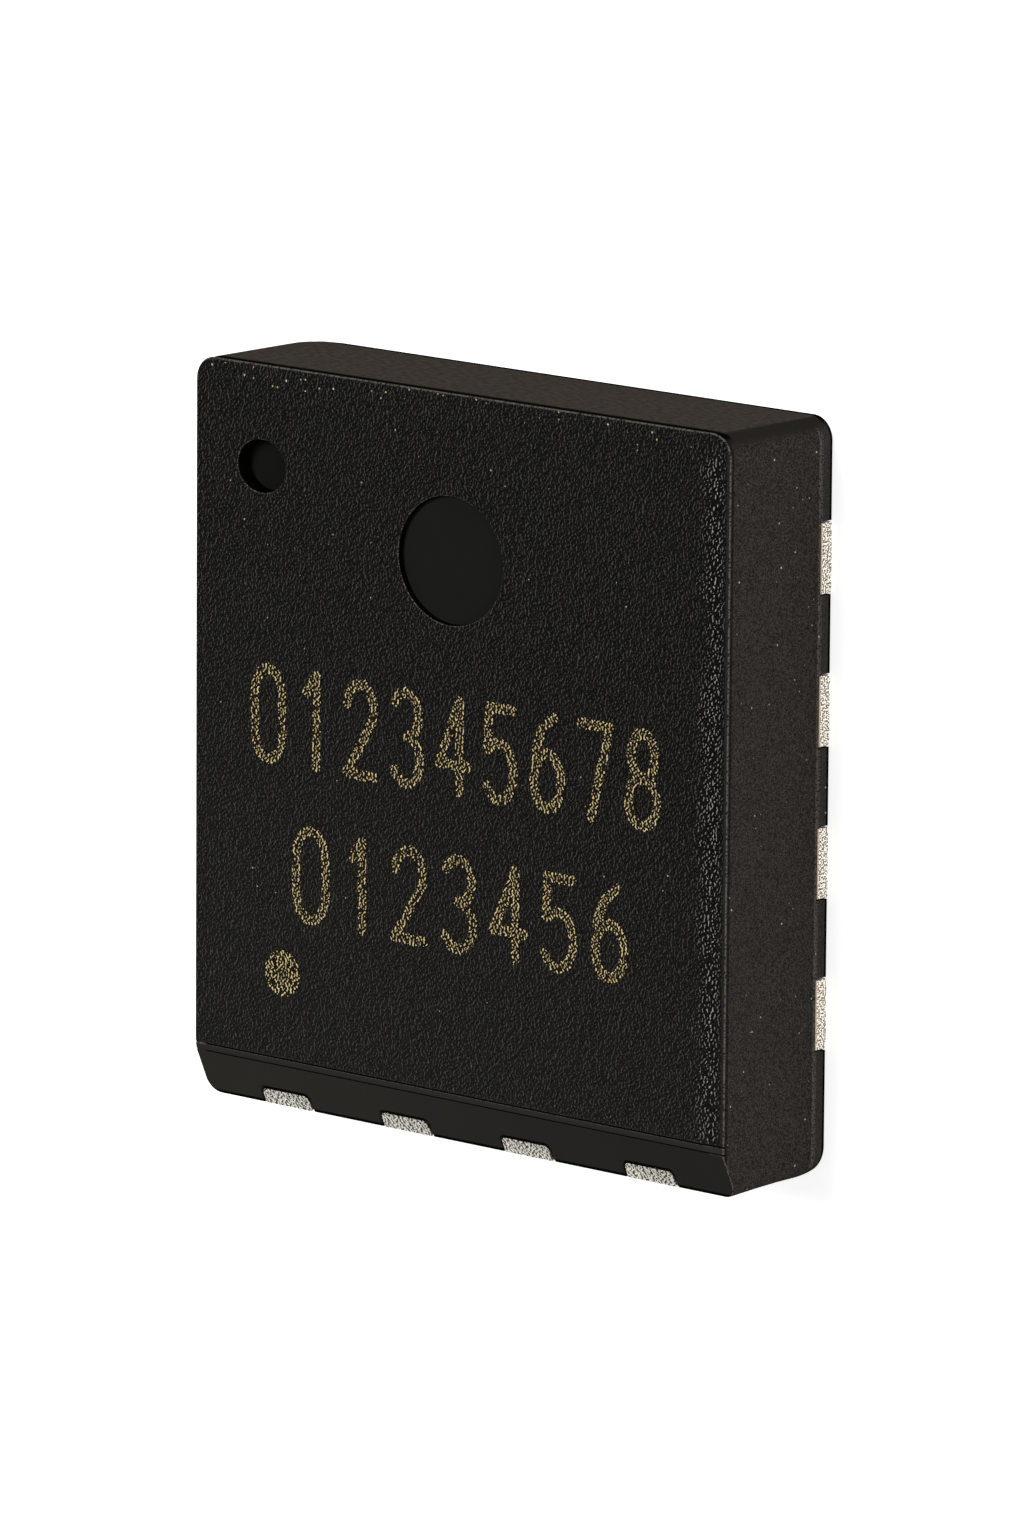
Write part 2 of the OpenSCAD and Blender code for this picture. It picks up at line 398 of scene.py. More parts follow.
def cad_copy(node):
    """Copy of a node's mesh in millimetres, with its faces joined at their shared points."""
    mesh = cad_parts[node].data.copy()
    mesh.transform(Matrix.Scale(1 / MM, 4))
    work = bmesh.new()
    work.from_mesh(mesh)
    bmesh.ops.remove_doubles(work, verts=work.verts, dist=JOIN)
    bmesh.ops.dissolve_limit(work, angle_limit=math.radians(FLAT_DEG), verts=work.verts, edges=work.edges)
    bmesh.ops.recalc_face_normals(work, faces=work.faces)
    clean = bpy.data.meshes.new(node + "_copy")
    work.to_mesh(clean)
    work.free()
    bpy.data.meshes.remove(mesh)
    return clean


def pocket_cutter(node):
    """Pocket for a terminal or the pad: its own form, a gap wider, run out through the walls it opens in."""
    mesh = cad_copy(node)
    flank = max(v.co.z for v in mesh.vertices) > FLANK_FROM
    gap = FLANK_GAP if flank else TERMINAL_GAP
    normals = [v.normal.copy() for v in mesh.vertices]
    for v, normal in zip(mesh.vertices, normals):
        p = v.co.copy()
        steepest = max(abs(normal.x), abs(normal.y))
        if steepest > UPRIGHT_SHARE:
            v.co.x += gap * normal.x / steepest
            v.co.y += gap * normal.y / steepest
        if p.z < NEAR:
            v.co.z -= REACH
        elif p.z > FLANK_FROM:
            v.co.z += REACH
        elif p.z > FRAME_T - NEAR:
            v.co.z += TERMINAL_GAP
        if abs(p.x) > HALF_W - NEAR:
            v.co.x += math.copysign(REACH, p.x)
        if abs(p.y) > HALF_L - NEAR:
            v.co.y += math.copysign(REACH, p.y)
    return mesh


def make_shell(material):
    """Moulded shell with its recesses and pockets cut, in place of the plain body."""
    cutters = bpy.data.collections.new("cutters")
    bpy.context.scene.collection.children.link(cutters)
    meshes = [recess_cutter("hole_cutter", HOLE), recess_cutter("disc_cutter", DISC)]
    meshes += [pocket_cutter(n) for n in TERMINAL_NODES + ["exposed_pad"]]
    tools = []
    for mesh in meshes:
        tool = bpy.data.objects.new(mesh.name, mesh)
        cutters.objects.link(tool)
        tools.append(tool)
    blank = link_object("shell_blank", shell_blank())
    cut = blank.modifiers.new("pockets", "BOOLEAN")
    cut.operation = "DIFFERENCE"
    cut.solver = "EXACT"
    cut.operand_type = "COLLECTION"
    cut.collection = cutters
    mesh = evaluated_mesh(blank)
    mesh.name = "mold_shell"
    work = bmesh.new()
    work.from_mesh(mesh)
    bmesh.ops.remove_doubles(work, verts=work.verts, dist=MERGE)
    bmesh.ops.dissolve_degenerate(work, dist=MERGE, edges=work.edges)
    work.to_mesh(mesh)
    work.free()
    for tool in tools + [blank]:
        bpy.data.objects.remove(tool)
    bpy.data.collections.remove(cutters)
    return finish_piece(link_object("mold_shell", mesh), material, ["mold_body"])


def make_terminal(node, material):
    """One plated terminal with broken edges, in place of its plain solid."""
    obj = link_object(node + "_plated", cad_copy(node))
    bevel = obj.modifiers.new("edge_break", "BEVEL")
    bevel.width = TERMINAL_BREAK
    bevel.segments = BREAK_STEPS
    bevel.limit_method = "ANGLE"
    bevel.angle_limit = math.radians(BREAK_DEG)
    mesh = evaluated_mesh(obj)
    obj.modifiers.clear()
    obj.data = mesh
    return finish_piece(obj, material, [node])


# Node graphs


class Graph:
    """Short way to write a material's nodes: sockets link, other values are set on the node."""

    def __init__(self, name):
        self.material = bpy.data.materials.new(name)
        self.material.use_nodes = True
        self.tree = self.material.node_tree
        self.tree.nodes.clear()

    def node(self, kind, inputs=None, **settings):
        made = self.tree.nodes.new(kind)
        for key, value in settings.items():
            setattr(made, key, value)
        for key, value in (inputs or {}).items():
            if isinstance(value, bpy.types.NodeSocket):
                self.tree.links.new(value, made.inputs[key])
            else:
                made.inputs[key].default_value = value
        return made

    def math(self, operation, a, b=0.0, clamp=False):
        made = self.node("ShaderNodeMath", {0: a, 1: b}, operation=operation, use_clamp=clamp)
        return made.outputs[0]

    def ramp(self, value, low, high, out_low=0.0, out_high=1.0):
        """Smooth step from one value to another, which may also fall."""
        made = self.node(
            "ShaderNodeMapRange",
            {"Value": value, 1: low, 2: high, 3: out_low, 4: out_high},
            interpolation_type="SMOOTHSTEP",
        )
        return made.outputs[0]

    def product(self, *values):
        """Product of masks."""
        made = values[0]
        for value in values[1:]:
            made = self.math("MULTIPLY", made, value)
        return made

    def total(self, a, b):
        """Two masks together, at most one."""
        return self.math("ADD", a, b, clamp=True)

    def band(self, value, middle, half):
        """Soft mask of a band about a value."""
        off = self.math("ABSOLUTE", self.math("SUBTRACT", value, middle))
        return self.ramp(off, half, half / 2)

    def from_high(self, value, half, limits):
        """Mask by the distance from an axis's far end."""
        return self.ramp(value, half - limits[0], half - limits[1])

    def from_low(self, value, half, limits):
        """Mask by the distance from an axis's near end."""
        return self.ramp(value, limits[0] - half, limits[1] - half)

    def other(self, mask):
        """All that a mask leaves out."""
        return self.math("SUBTRACT", 1.0, mask)

    def parts(self, vector):
        """The three parts of a vector."""
        return list(self.node("ShaderNodeSeparateXYZ", {0: vector}).outputs)

    def position(self):
        """Place on the object in millimetres."""
        coords = self.node("ShaderNodeTexCoord").outputs["Object"]
        scaled = self.node("ShaderNodeVectorMath", {0: coords, "Scale": 1 / MM}, operation="SCALE")
        return scaled.outputs[0]

    def stretched(self, vector, scale):
        made = self.node("ShaderNodeVectorMath", {0: vector, 1: scale}, operation="MULTIPLY")
        return made.outputs[0]

    def turned(self, vector, degrees):
        made = self.node(
            "ShaderNodeVectorRotate",
            {"Vector": vector, "Angle": math.radians(degrees)},
            rotation_type="Z_AXIS",
        )
        return made.outputs[0]

    def noise(self, vector, scale, detail=2.0, roughness=0.5):
        """Soft noise about a half, with the number of cells in a millimetre as its scale."""
        made = self.node(
            "ShaderNodeTexNoise",
            {"Vector": vector, "Scale": scale, "Detail": detail, "Roughness": roughness},
        )
        return made.outputs["Fac"]

    def emboss(self, vector, scale, shift):
        """Lit and shaded sides of the bumps of a fine grain, about zero."""
        ahead = self.node("ShaderNodeVectorMath", {0: vector, 1: shift}, operation="ADD").outputs[0]
        behind = self.node("ShaderNodeVectorMath", {0: vector, 1: shift}, operation="SUBTRACT").outputs[0]
        return self.math("SUBTRACT", self.noise(ahead, scale, 0.0), self.noise(behind, scale, 0.0))

    def mix(self, factor, a, b):
        """Colour a, or colour b where the factor is one."""
        made = self.node("ShaderNodeMix", data_type="RGBA")
        for key, value in ((0, factor), (6, a), (7, b)):
            if isinstance(value, bpy.types.NodeSocket):
                self.tree.links.new(value, made.inputs[key])
            else:
                made.inputs[key].default_value = value
        return made.outputs[2]

    def bump(self, height, depth):
        """Normal of a surface that a texture lifts by up to the depth."""
        made = self.node("ShaderNodeBump", {"Strength": 1.0, "Distance": depth * MM, "Height": height})
        return made.outputs[0]

    def surface(self, inputs):
        """The finished material."""
        shader = self.node("ShaderNodeBsdfPrincipled", inputs)
        output = self.node("ShaderNodeOutputMaterial")
        self.tree.links.new(shader.outputs[0], output.inputs[0])
        return self.material


# Colours of the moulding compound
# Painted shade: the face's dark tone runs from the first, darker towards the plain end and the right, to the
# second
GRAIN_DARK_FAR = (0.0024, 0.0024, 0.0020, 1)
GRAIN_DARK_NEAR = (0.0072, 0.0071, 0.0063, 1)
# Painted highlight on the lit sides of the grain's bumps
GRAIN_HIGHLIGHT = (0.054, 0.0525, 0.0459, 1)
# Painted sparkle highlight in the strip along the right edge
SPARKLE = (0.45, 0.43, 0.38, 1)
SIDE_DARK = (0.0180, 0.0164, 0.0144, 1)
SIDE_LIGHT = (0.073, 0.0663, 0.0584, 1)
SIDE_FOOT = (0.060, 0.0545, 0.0480, 1)
END_DARK = (0.0450, 0.0380, 0.0315, 1)
END_LIGHT = (0.0705, 0.0597, 0.0498, 1)
# Painted shade on the rounded upright corner between the plain end and the right side
CORNER_SHADE = (0.0240, 0.0217, 0.0188, 1)
BEVEL_DARK = (0.0203, 0.0196, 0.0172, 1)
BEVEL_LIGHT = (0.0266, 0.0257, 0.0225, 1)
LIP = (0.0275, 0.0262, 0.0226, 1)
PLAIN_DARK = (0.0150, 0.0142, 0.0125, 1)
PLAIN_LIGHT = (0.0250, 0.0238, 0.0207, 1)
DISC_DARK = (0.0105, 0.0106, 0.0095, 1)
DISC_LIGHT = (0.0125, 0.0126, 0.0112, 1)
HOLE_FLOOR = (0.0085, 0.0087, 0.0080, 1)
# Painted shade on the walls of the recesses
RECESS_WALL_SHADE = (0.0020, 0.0020, 0.0018, 1)
# Painted highlights on the broken edges and the parting line's ridge, and on the rims of the recesses
EDGE_HIGHLIGHT = (0.115, 0.104, 0.090, 1)
RIM_HIGHLIGHT = (0.150, 0.138, 0.115, 1)
# Painted shade along the grooves, the foot of the walls and the brow
SHADE_LINE = (0.0025, 0.0024, 0.0021, 1)
# Painted glints
FACE_GLINT = (0.60, 0.50, 0.32, 1)
WALL_GLINT = (0.50, 0.47, 0.41, 1)
SHEEN_TINT = (1.0, 0.96, 0.86, 1)

# Upward part of the normal, from outside to inside each zone
LEVEL_FACE = (0.95, 0.985)
STEEP_WALL = (0.3, 0.1)
EDGE_FROM = (0.15, 0.4)
EDGE_TO = (0.94, 0.82)
RECESS_SIDE = (0.9, 0.75)
# Sideways part of the normal on a wall that faces one way
FACES_SIDE = (0.6, 0.9)
FACES_PARTING = (0.7, 0.9)
FACES_END = (0.9, 0.985)
FACES_LIGHT = (0.05, 0.2)
CORNER_TO_END = (0.3, 0.75)
CORNER_TO_SIDE = (0.12, 0.35)

# Depths below the marked face at which each zone sets in and is full
FACE_DEPTH = (0.032, 0.022)
LINE_DEPTH = (0.03, 0.02)
RECESS_DEPTH = (0.012, 0.03)
HOLE_DEPTH = (0.06, 0.08)
RECESS_WALL_DEPTH = (0.005, 0.009)
RIM_DEPTH = (0.010, 0.006)
RECESS_SHARE = (0.6, 0.7)
# Distances from the shell's sides
RECESS_INSET = (0.1, 0.12)
BEAD_INSET = (0.022, 0.03)
LIP_INSET = (0.05, 0.09)
BROW_INSET = (0.022, 0.015)
BRINK_INSET = (0.14, 0.07)
SPARKLE_LEFT = (0.20, 0.085)
SPARKLE_RIGHT = (0.018, 0.085)
SPARKLE_END = (0.05, 0.22)
# Softness of the change from one zone to the next
LIP_BLEND = 0.02
BEVEL_BLEND = 0.01
LIP_EDGE_BLEND = 0.003

# Half widths of the painted shade lines, and shares of their darkness
BEAD_LINE_HALF = 0.009
END_LINE_MIDDLE = HEIGHT - EDGE_R - 0.034
END_LINE_HALF = 0.036
END_FOOT_LINE = (0.04, 0.03)
SIDE_LINE_MIDDLE = HEIGHT - ROLL_H - EDGE_R - 0.008
SIDE_LINE_HALF = 0.012
SIDE_FOOT_LINE = (0.024, 0.018)
SIDE_LINE_SHARE = 0.6
BEAD_LINE_SHARE = 0.35
RIDGE_MIDDLE = 0.1
RIDGE_HALF = 0.013
BELOW_RIDGE = (0.085, 0.07)

# Textures: cells in a millimetre, and the values between which a texture turns from one colour to the other
GRAIN_TURN = 12
GRAIN_STRETCH = (1.0, 0.62, 1.0)
GRAIN_SCALE = 98.0
GRAIN_SHIFT = (0.0044, 0.0, 0.0)
GRAIN_RANGE = (0.10, 0.30)
GRAIN_DEPTH = 0.018
SPARKLE_RANGE = (0.18, 0.28)
SPARKLE_RELIEF = 2.0
PEBBLE_SCALE = 105.0
PEBBLE_RANGE = (0.3, 0.7)
EDGE_HIGHLIGHT_RANGE = (0.3, 0.55)
RIM_HIGHLIGHT_RANGE = (0.45, 0.65)
RIDGE_RANGE = (0.35, 0.6)
FOOT_RANGE = (0.35, 0.65, 0.30, 0.42)
GRIT_SCALE = 160.0
GRIT_RANGE = (0.0, 1.3)
DRAWN_STRETCH = (0.35, 1.0, 1.0)
DRAWN_SCALE = 55.0
WANDER_SCALE = 5.0
WANDER = 0.15
TONE_SCALE = 4.0
# Painted shade: the face grows lighter towards the bevelled end and the left, and the bevel towards the left
SHADE_SLANT = 0.35
SHADE_RANGE = (1.2, -2.3)
BEVEL_SHADE = (-0.15, 0.85)
BEVEL_TONE = 0.3
# Painted glints: cells in a millimetre, share of empty cells, and smallest and largest size in cells
GLINT_SCALE = 30.0
FACE_EMPTY = (0.995, 0.87)
FACE_GLINT_LEAST = 0.05
FACE_GLINT_MOST = (0.13, 0.19)
WALL_EMPTY = 0.98
WALL_GLINT_SIZE = (0.06, 0.16)

MOLD_ROUGHNESS = 0.36
MOLD_SPECULAR = 0.13


class MoldGraph(Graph):
    """Black moulding compound, whose look depends on where on the shell a point lies."""

    def __init__(self):
        super().__init__("mold_compound_black")
        self.place = self.position()
        self.x, self.y, self.z = self.parts(self.place)
        self.nx, self.ny, self.nz = self.parts(self.node("ShaderNodeNewGeometry").outputs["Normal"])
        self.find_zones()
        self.find_textures()

    def depth(self, limits):
        """Mask by the depth below the marked face."""
        return self.ramp(self.z, HEIGHT - limits[0], HEIGHT - limits[1])

    def find_zones(self):
        """Grained face, bevel with its lip, walls, broken edges and recesses."""
        lip_y = BEVEL_L - HALF_L
        bevel_top = lip_y - LIP_L
        self.near_top = self.depth(FACE_DEPTH)
        self.past_lip = self.ramp(self.y, lip_y, lip_y + LIP_BLEND)
        level = self.ramp(self.nz, *LEVEL_FACE)
        inside_bead = self.from_high(self.x, HALF_W, BEAD_INSET)
        self.face = self.product(level, self.near_top, self.past_lip, inside_bead)
        self.wall = self.ramp(self.math("ABSOLUTE", self.nz), *STEEP_WALL)
        self.edge = self.product(self.ramp(self.nz, *EDGE_FROM), self.ramp(self.nz, *EDGE_TO))
        self.on_end = self.ramp(self.ny, *FACES_SIDE)
        self.on_side = self.ramp(self.nx, *FACES_SIDE)
        self.on_bevel = self.ramp(self.y, lip_y + BEVEL_BLEND, lip_y - BEVEL_BLEND)
        self.lip_run = self.from_low(self.x, HALF_W, LIP_INSET)
        on_lip = self.ramp(self.y, bevel_top - LIP_EDGE_BLEND, bevel_top + LIP_EDGE_BLEND)
        self.lip = self.product(on_lip, self.lip_run)
        self.inner = self.product(
            self.from_high(self.math("ABSOLUTE", self.x), HALF_W, RECESS_INSET),
            self.from_high(self.math("ABSOLUTE", self.y), HALF_L, RECESS_INSET),
            self.other(self.on_bevel),
            self.ramp(self.z, HEIGHT * RECESS_SHARE[0], HEIGHT * RECESS_SHARE[1]),
        )

    def find_textures(self):
        """Grain of the face, whose colour paints the lit and shaded sides of its bumps, pebbles of edges and
        walls, and the strip along the right edge that gets painted sparkle.
        """
        leaning = self.stretched(self.turned(self.place, GRAIN_TURN), GRAIN_STRETCH)
        self.grain = self.emboss(leaning, GRAIN_SCALE, GRAIN_SHIFT)
        self.pebble = self.noise(self.place, PEBBLE_SCALE, 0.0)
        self.tone = self.noise(self.place, TONE_SCALE, 3.0, 0.6)
        aside = self.math("SUBTRACT", self.noise(self.place, WANDER_SCALE, 1.0), 0.5)
        across = self.math("ADD", self.x, self.math("MULTIPLY", aside, WANDER))
        self.sparkle = self.product(
            self.from_high(across, HALF_W, SPARKLE_LEFT),
            self.from_high(self.x, HALF_W, SPARKLE_RIGHT),
            self.from_high(self.y, HALF_L, SPARKLE_END),
        )

    def shade_lines(self):
        """Painted shade: dark lines beside the lip and the bead, at the top and foot of the walls, and at the
        brow.
        """
        lip_line = self.product(self.band(self.y, LIP_GROOVE[0] - HALF_L, LIP_GROOVE[1]), self.lip_run)
        bevel_line = self.product(self.band(self.y, BEVEL_GROOVE[0] - HALF_L, BEVEL_GROOVE[1]), self.lip_run)
        lip_lines = self.product(self.total(lip_line, bevel_line), self.depth(LINE_DEPTH))
        end_top = self.band(self.z, END_LINE_MIDDLE, END_LINE_HALF)
        end_lines = self.product(self.total(end_top, self.ramp(self.z, *END_FOOT_LINE)), self.on_end)
        side_top = self.product(self.band(self.z, SIDE_LINE_MIDDLE, SIDE_LINE_HALF), SIDE_LINE_SHARE)
        side_lines = self.product(self.total(side_top, self.ramp(self.z, *SIDE_FOOT_LINE)), self.on_side)
        bead = self.band(self.x, HALF_W - BEAD_GROOVE[0], BEAD_LINE_HALF)
        bead_line = self.product(bead, self.near_top, self.past_lip, BEAD_LINE_SHARE)
        above_wall = self.depth((BEVEL_H + BEVEL_BLEND, BEVEL_H))
        brow = self.product(self.on_bevel, self.from_low(self.y, HALF_L, BROW_INSET), above_wall)
        lines = self.total(lip_lines, end_lines)
        for more in (side_lines, bead_line, brow):
            lines = self.total(lines, more)
        return lines

    def glints(self, vector, empty, smallest, largest):
        """Round specks in a few cells of a flat field."""
        cells = self.node(
            "ShaderNodeTexVoronoi",
            {"Vector": vector, "Scale": GLINT_SCALE},
            voronoi_dimensions="2D",
        )
        pick = self.node("ShaderNodeSeparateColor", {0: cells.outputs["Color"]}).outputs
        size = self.ramp(pick[1], 0.0, 1.0, smallest, largest)
        near = self.math("LESS_THAN", cells.outputs["Distance"], size)
        return self.product(near, self.math("GREATER_THAN", pick[0], empty))

    def face_colour(self):
        # Painted shade: the face's dark tone grows lighter towards the bevelled end and the left
        sunward = self.math("ADD", self.y, self.math("MULTIPLY", self.x, SHADE_SLANT))
        dark = self.mix(self.ramp(sunward, *SHADE_RANGE), GRAIN_DARK_FAR, GRAIN_DARK_NEAR)
        # Painted highlight and shade: lit sides of the grain's bumps go light, shaded sides keep the dark
        # tone
        grained = self.mix(self.ramp(self.grain, *GRAIN_RANGE), dark, GRAIN_HIGHLIGHT)
        # Painted sparkle highlights in the strip along the right edge
        return self.mix(self.product(self.sparkle, self.ramp(self.grain, *SPARKLE_RANGE)), grained, SPARKLE)

    def wall_colour(self):
        cells = self.node("ShaderNodeTexVoronoi", {"Vector": self.place, "Scale": GRIT_SCALE})
        grit = self.node("ShaderNodeSeparateColor", {0: cells.outputs["Color"]}).outputs[0]
        side = self.mix(self.ramp(grit, *GRIT_RANGE), SIDE_DARK, SIDE_LIGHT)
        drawn = self.noise(self.stretched(self.place, DRAWN_STRETCH), DRAWN_SCALE, 1.0)
        end = self.mix(self.ramp(drawn, *PEBBLE_RANGE), END_DARK, END_LIGHT)
        colour = self.mix(self.ramp(self.ny, *FACES_END), side, end)
        # Painted shade on the rounded corner between the plain end and the right side
        corner = self.product(self.ramp(self.ny, *CORNER_TO_END), self.ramp(self.nx, *CORNER_TO_SIDE))
        colour = self.mix(corner, colour, CORNER_SHADE)
        foot = self.ramp(self.pebble, *FOOT_RANGE)
        below = self.product(self.ramp(self.z, *BELOW_RIDGE), self.on_side, foot)
        return self.mix(below, colour, SIDE_FOOT)

    def bevel_colour(self):
        # Painted shade: the bevel grows lighter towards the left, with a random tone on top
        leftward = self.ramp(self.x, HALF_W, -HALF_W, *BEVEL_SHADE)
        leftward = self.math("ADD", leftward, self.math("MULTIPLY", self.tone, BEVEL_TONE))
        return self.mix(self.lip, self.mix(leftward, BEVEL_DARK, BEVEL_LIGHT), LIP)

    def recess_colour(self, colour):
        """Floors of the recesses, and painted shade on their walls, over the colour that lies there."""
        recess = self.product(self.inner, self.depth(RECESS_DEPTH))
        hole = self.product(self.inner, self.depth(HOLE_DEPTH))
        side = self.product(self.inner, self.ramp(self.nz, *RECESS_SIDE), self.depth(RECESS_WALL_DEPTH))
        colour = self.mix(recess, colour, self.mix(self.tone, DISC_DARK, DISC_LIGHT))
        colour = self.mix(hole, colour, HOLE_FLOOR)
        # Painted shade on the recesses' walls
        return self.mix(side, colour, RECESS_WALL_SHADE)

    def highlight_colour(self, colour):
        """Painted highlights on the broken edges that face +x or +y, on the parting line's ridge and on the
        rims of the recesses, over the colour that lies there.
        """
        lit = self.ramp(self.math("MAXIMUM", self.nx, self.ny), *FACES_LIGHT)
        edge_highlight = self.product(self.edge, lit, self.ramp(self.pebble, *EDGE_HIGHLIGHT_RANGE), self.other(self.inner))
        ridge = self.product(
            self.band(self.z, RIDGE_MIDDLE, RIDGE_HALF),
            self.ramp(self.nx, *FACES_PARTING),
            self.ramp(self.pebble, *RIDGE_RANGE),
        )
        colour = self.mix(self.total(edge_highlight, ridge), colour, EDGE_HIGHLIGHT)
        patches = self.ramp(self.pebble, *RIM_HIGHLIGHT_RANGE)
        rim = self.product(self.edge, self.inner, self.depth(RIM_DEPTH), patches)
        return self.mix(rim, colour, RIM_HIGHLIGHT)

    def glint_colour(self, colour):
        """Painted glints: bright specks of the face, crowded at the plain end's edge, and of the side wall.
        """
        brink = self.from_high(self.y, HALF_L, BRINK_INSET)
        empty = self.ramp(brink, 0.0, 1.0, *FACE_EMPTY)
        largest = self.ramp(brink, 0.0, 1.0, *FACE_GLINT_MOST)
        on_face = self.product(self.glints(self.place, empty, FACE_GLINT_LEAST, largest), self.face)
        upright = self.node("ShaderNodeCombineXYZ", {0: self.y, 1: self.z}).outputs[0]
        on_wall = self.product(self.glints(upright, WALL_EMPTY, *WALL_GLINT_SIZE), self.on_side)
        return self.mix(on_wall, self.mix(on_face, colour, FACE_GLINT), WALL_GLINT)


def mold_material():
    g = MoldGraph()
    plain = g.mix(g.ramp(g.pebble, *PEBBLE_RANGE), PLAIN_DARK, PLAIN_LIGHT)
    colour = g.mix(g.on_bevel, plain, g.bevel_colour())
    colour = g.mix(g.wall, colour, g.wall_colour())
    colour = g.mix(g.face, colour, g.face_colour())
    colour = g.recess_colour(colour)
    # Painted highlights on edges, ridge and recess rims
    colour = g.highlight_colour(colour)
    # Painted shade lines
    colour = g.mix(g.shade_lines(), colour, SHADE_LINE)
    # Painted glints
    colour = g.glint_colour(colour)
    relief = g.product(g.grain, g.face, g.ramp(g.sparkle, 0.0, 1.0, 1.0, SPARKLE_RELIEF))
    return g.surface({
        "Base Color": colour,
        "Roughness": MOLD_ROUGHNESS,
        "Specular IOR Level": g.product(g.face, MOLD_SPECULAR),
        "Specular Tint": SHEEN_TINT,
        "Normal": g.bump(relief, GRAIN_DEPTH),
    })


# Plating of the terminals and the pad
TIN_DARK = (0.90, 0.86, 0.76, 1)
TIN_LIGHT = (0.97, 0.93, 0.83, 1)
TIN_PIT = (0.13, 0.105, 0.07, 1)
TIN_TORN = (0.06, 0.047, 0.03, 1)
BARE_COPPER = (0.42, 0.31, 0.22, 1)
# Dark of hidden faces, also painted shade on terminal walls seen down the gap to the moulding
HIDDEN_AND_GAP_SHADE = (0.006, 0.005, 0.004, 1)
TIN_TONE_SCALE = 9.0
TIN_GRAIN_SCALE = 80.0
PIT_SCALE = 100.0
PIT_RANGE = (0.45, 0.53)
PIT_RELIEF = 0.5
TORN_SCALE = 76.0
TORN_SHIFT = (0.0055, 0.0, 0.0)
TORN_RANGE = (0.03, 0.10)
TALL_FROM = (FRAME_T * 3, FRAME_T * 4)
FLANK_INSET = (0.1, 0.12)
BRIM_DROP = (0.014, 0.008)
OUTER_INSET = (0.012, 0.008)
FACES_DOWN = (-0.3, -0.6)
FLANK_TOP = (0.75, 0.87)
TIN_METALLIC = 0.8
TIN_ROUGHNESS = 0.38
TIN_RELIEF = 0.006


def tin_material():
    """Matt tin: pitted, torn by the saw on the tall flank terminals, and dark where the moulding hides it;
    the same dark is painted shade on the walls seen down the gap to the moulding.
    """
    g = Graph("tin_plate_matte")
    place = g.position()
    x, y, z = g.parts(place)
    up = g.parts(g.node("ShaderNodeNewGeometry").outputs["Normal"])[2]
    grain = g.noise(place, TIN_GRAIN_SCALE, 2.0, 0.6)
    pits = g.ramp(g.noise(place, PIT_SCALE, 0.5), *PIT_RANGE)
    torn = g.ramp(g.emboss(place, TORN_SCALE, TORN_SHIFT), *TORN_RANGE)
    high = g.ramp(z, *TALL_FROM)
    off_flank = g.from_low(y, HALF_L, FLANK_INSET)
    tall = g.total(high, g.other(off_flank))
    brim = g.product(g.ramp(z, FRAME_T - BRIM_DROP[0], FRAME_T - BRIM_DROP[1]), off_flank)
    outer = g.total(
        g.from_high(g.math("ABSOLUTE", x), HALF_W, OUTER_INSET),
        g.from_high(g.math("ABSOLUTE", y), HALF_L, OUTER_INSET),
    )
    shown = g.total(outer, g.ramp(up, *FACES_DOWN))
    shown = g.total(shown, g.product(high, g.ramp(up, *FLANK_TOP)))

    colour = g.mix(g.noise(place, TIN_TONE_SCALE), TIN_DARK, TIN_LIGHT)
    colour = g.mix(g.total(pits, tall), TIN_PIT, colour)
    colour = g.mix(brim, colour, BARE_COPPER)
    colour = g.mix(g.product(tall, torn), colour, TIN_TORN)
    # Painted shade: all but the outer, downward and flank-top faces go dark, the hidden ones and the walls
    # seen down the gap alike
    colour = g.mix(shown, HIDDEN_AND_GAP_SHADE, colour)
    relief = g.math("ADD", grain, g.math("MULTIPLY", pits, PIT_RELIEF))
    return g.surface({
        "Base Color": colour,
        "Metallic": g.product(shown, TIN_METALLIC),
        "Roughness": TIN_ROUGHNESS,
        "Normal": g.bump(relief, TIN_RELIEF),
    })


def inner_material(name, dark, light, pattern, metallic, roughness, relief):
    """Finish of a piece inside the moulding: two tones of a noise, which also lifts the surface."""
    g = Graph(name)
    stretch, scale, detail, rough = pattern
    texture = g.noise(g.stretched(g.position(), stretch), scale, detail, rough)
    return g.surface({
        "Base Color": g.mix(texture, dark, light),
        "Metallic": metallic,
        "Roughness": roughness,
        "Normal": g.bump(texture, relief),
    })


def gold_material():
    return inner_material(
        "gold_wire_drawn",
        dark=(0.70, 0.45, 0.14, 1),
        light=(0.85, 0.60, 0.24, 1),
        pattern=((1.0, 1.0, 6.0), 60.0, 2.0, 0.5),
        metallic=1.0,
        roughness=0.28,
        relief=0.001,
    )


def silicon_material():
    return inner_material(
        "silicon_polished",
        dark=(0.09, 0.10, 0.13, 1),
        light=(0.14, 0.15, 0.18, 1),
        pattern=((1.0, 1.0, 1.0), 12.0, 3.0, 0.6),
        metallic=0.6,
        roughness=0.2,
        relief=0.0005,
    )


def epoxy_material():
    return inner_material(
        "silver_epoxy_cured",
        dark=(0.30, 0.30, 0.31, 1),
        light=(0.52, 0.52, 0.53, 1),
        pattern=((1.0, 1.0, 1.0), 90.0, 2.0, 0.6),
        metallic=0.3,
        roughness=0.55,
        relief=0.003,
    )


